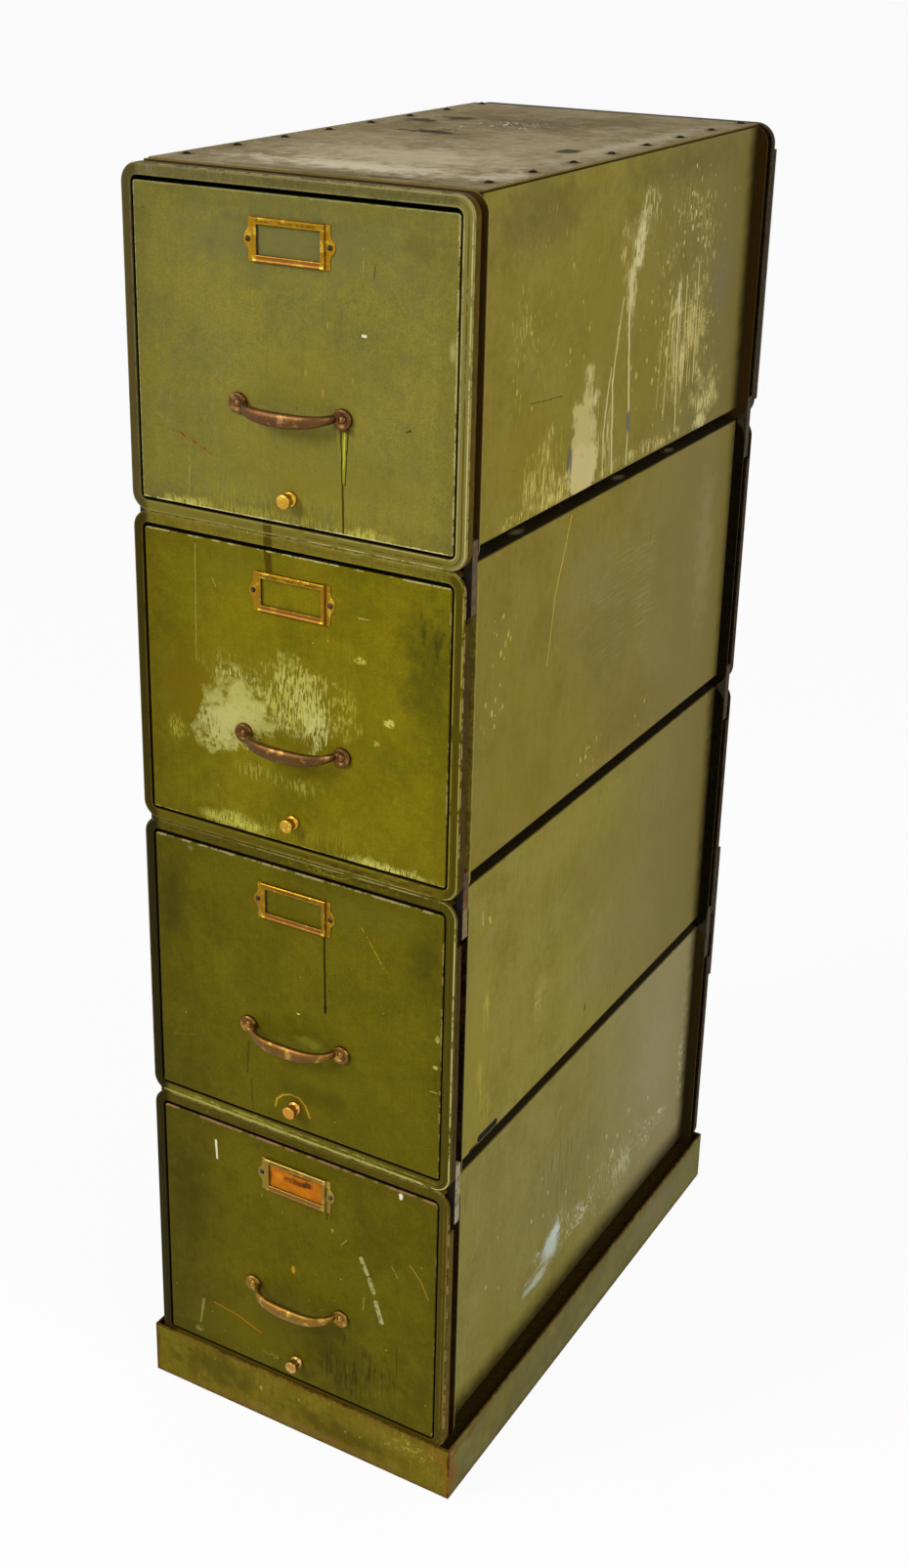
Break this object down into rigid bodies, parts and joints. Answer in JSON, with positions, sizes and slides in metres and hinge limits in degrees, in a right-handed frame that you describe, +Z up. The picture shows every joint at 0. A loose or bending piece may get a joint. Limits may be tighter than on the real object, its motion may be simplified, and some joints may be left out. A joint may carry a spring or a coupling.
{
  "type": "vertical filing cabinet",
  "caption": "Stacked steel letter-file cabinet on an open base, with round-cornered frames and roller drawers that have bow handles, label holders and follower rods.",
  "frame": {"origin": "centre of the base's footprint, on the floor", "axes": "+X to the right seen from the front, -Y out of the drawer fronts, +Z up"},
  "size_m": [0.381, 0.6925, 1.35],
  "materials": {
    "case_paint": "olive enamel, worn and streaked",
    "frame_paint": "olive enamel, rubbed at the edges, rusty in its channels",
    "drawer_paint": "olive enamel, worn and scratched",
    "tray_paint": "olive enamel",
    "base_paint": "olive enamel, rust at the rims",
    "rail_steel": "dull zinc-plated steel",
    "rod_steel": "ground steel",
    "follower_steel": "dull grey enamel",
    "clip_steel": "bare and rusty steel",
    "dark_screws": "blackened steel",
    "handle_bronze": "brown tarnished bronze",
    "holder_brass": "tarnished brass",
    "knob_brass": "tarnished brass",
    "card": "amber card with a dull face"
  },
  "bodies": {
    "cabinet": {"base_plinth": "base_paint", "stack_clips": "clip_steel", "top_rivets": "dark_screws", "case_shell_1": "case_paint", "face_frame_1": "frame_paint", "rear_frame_1": "frame_paint", "back_panel_1": "case_paint", "case_rails_1": "rail_steel", "case_shell_2": "case_paint", "face_frame_2": "frame_paint", "rear_frame_2": "frame_paint", "back_panel_2": "case_paint", "case_rails_2": "rail_steel", "case_shell_3": "case_paint", "face_frame_3": "frame_paint", "rear_frame_3": "frame_paint", "back_panel_3": "case_paint", "case_rails_3": "rail_steel", "case_shell_4": "case_paint", "face_frame_4": "frame_paint", "rear_frame_4": "frame_paint", "back_panel_4": "case_paint", "case_rails_4": "rail_steel"},
    "drawer_1": {"drawer_front_1": "drawer_paint", "drawer_tray_1": "tray_paint", "handle_1": "handle_bronze", "label_holder_1": "holder_brass", "drawer_screws_1": "dark_screws"},
    "slide_bars_1": {"slides_1": "rail_steel"},
    "rod_1": {"guide_rod_1": "rod_steel", "rod_knob_1": "knob_brass"},
    "block_1": {"follower_1": "follower_steel"},
    "drawer_2": {"drawer_front_2": "drawer_paint", "drawer_tray_2": "tray_paint", "handle_2": "handle_bronze", "label_holder_2": "holder_brass", "drawer_screws_2": "dark_screws"},
    "slide_bars_2": {"slides_2": "rail_steel"},
    "rod_2": {"guide_rod_2": "rod_steel", "rod_knob_2": "knob_brass"},
    "block_2": {"follower_2": "follower_steel"},
    "drawer_3": {"drawer_front_3": "drawer_paint", "drawer_tray_3": "tray_paint", "handle_3": "handle_bronze", "label_holder_3": "holder_brass", "drawer_screws_3": "dark_screws"},
    "slide_bars_3": {"slides_3": "rail_steel"},
    "rod_3": {"guide_rod_3": "rod_steel", "rod_knob_3": "knob_brass"},
    "block_3": {"follower_3": "follower_steel"},
    "drawer_4": {"drawer_front_4": "drawer_paint", "drawer_tray_4": "tray_paint", "handle_4": "handle_bronze", "label_holder_4": "holder_brass", "drawer_screws_4": "dark_screws", "label_card": "card"},
    "slide_bars_4": {"slides_4": "rail_steel"},
    "rod_4": {"guide_rod_4": "rod_steel", "rod_knob_4": "knob_brass"},
    "block_4": {"follower_4": "follower_steel"}
  },
  "joints": [
    {"name": "drawer_1_slide", "type": "slide", "parent": "cabinet", "child": "drawer_1", "axis": [0, -1, 0], "range_m": [0, 0.56]},
    {"name": "slide_bars_1_slide", "type": "slide", "parent": "cabinet", "child": "slide_bars_1", "axis": [0, -1, 0], "range_m": [0, 0.28]},
    {"name": "rod_1_pull", "type": "slide", "parent": "drawer_1", "child": "rod_1", "axis": [0, -1, 0], "range_m": [0, 0.58]},
    {"name": "follower_1_slide", "type": "slide", "parent": "drawer_1", "child": "block_1", "axis": [0, -1, 0], "range_m": [0, 0.45]},
    {"name": "drawer_2_slide", "type": "slide", "parent": "cabinet", "child": "drawer_2", "axis": [0, -1, 0], "range_m": [0, 0.56]},
    {"name": "slide_bars_2_slide", "type": "slide", "parent": "cabinet", "child": "slide_bars_2", "axis": [0, -1, 0], "range_m": [0, 0.28]},
    {"name": "rod_2_pull", "type": "slide", "parent": "drawer_2", "child": "rod_2", "axis": [0, -1, 0], "range_m": [0, 0.58]},
    {"name": "follower_2_slide", "type": "slide", "parent": "drawer_2", "child": "block_2", "axis": [0, -1, 0], "range_m": [0, 0.45]},
    {"name": "drawer_3_slide", "type": "slide", "parent": "cabinet", "child": "drawer_3", "axis": [0, -1, 0], "range_m": [0, 0.56]},
    {"name": "slide_bars_3_slide", "type": "slide", "parent": "cabinet", "child": "slide_bars_3", "axis": [0, -1, 0], "range_m": [0, 0.28]},
    {"name": "rod_3_pull", "type": "slide", "parent": "drawer_3", "child": "rod_3", "axis": [0, -1, 0], "range_m": [0, 0.58]},
    {"name": "follower_3_slide", "type": "slide", "parent": "drawer_3", "child": "block_3", "axis": [0, -1, 0], "range_m": [0, 0.45]},
    {"name": "drawer_4_slide", "type": "slide", "parent": "cabinet", "child": "drawer_4", "axis": [0, -1, 0], "range_m": [0, 0.56]},
    {"name": "slide_bars_4_slide", "type": "slide", "parent": "cabinet", "child": "slide_bars_4", "axis": [0, -1, 0], "range_m": [0, 0.28]},
    {"name": "rod_4_pull", "type": "slide", "parent": "drawer_4", "child": "rod_4", "axis": [0, -1, 0], "range_m": [0, 0.58]},
    {"name": "follower_4_slide", "type": "slide", "parent": "drawer_4", "child": "block_4", "axis": [0, -1, 0], "range_m": [0, 0.45]}
  ],
  "couplings": [
    {"joint": "slide_bars_1_slide", "follows": "drawer_1_slide", "ratio": 0.5},
    {"joint": "slide_bars_2_slide", "follows": "drawer_2_slide", "ratio": 0.5},
    {"joint": "slide_bars_3_slide", "follows": "drawer_3_slide", "ratio": 0.5},
    {"joint": "slide_bars_4_slide", "follows": "drawer_4_slide", "ratio": 0.5}
  ]
}
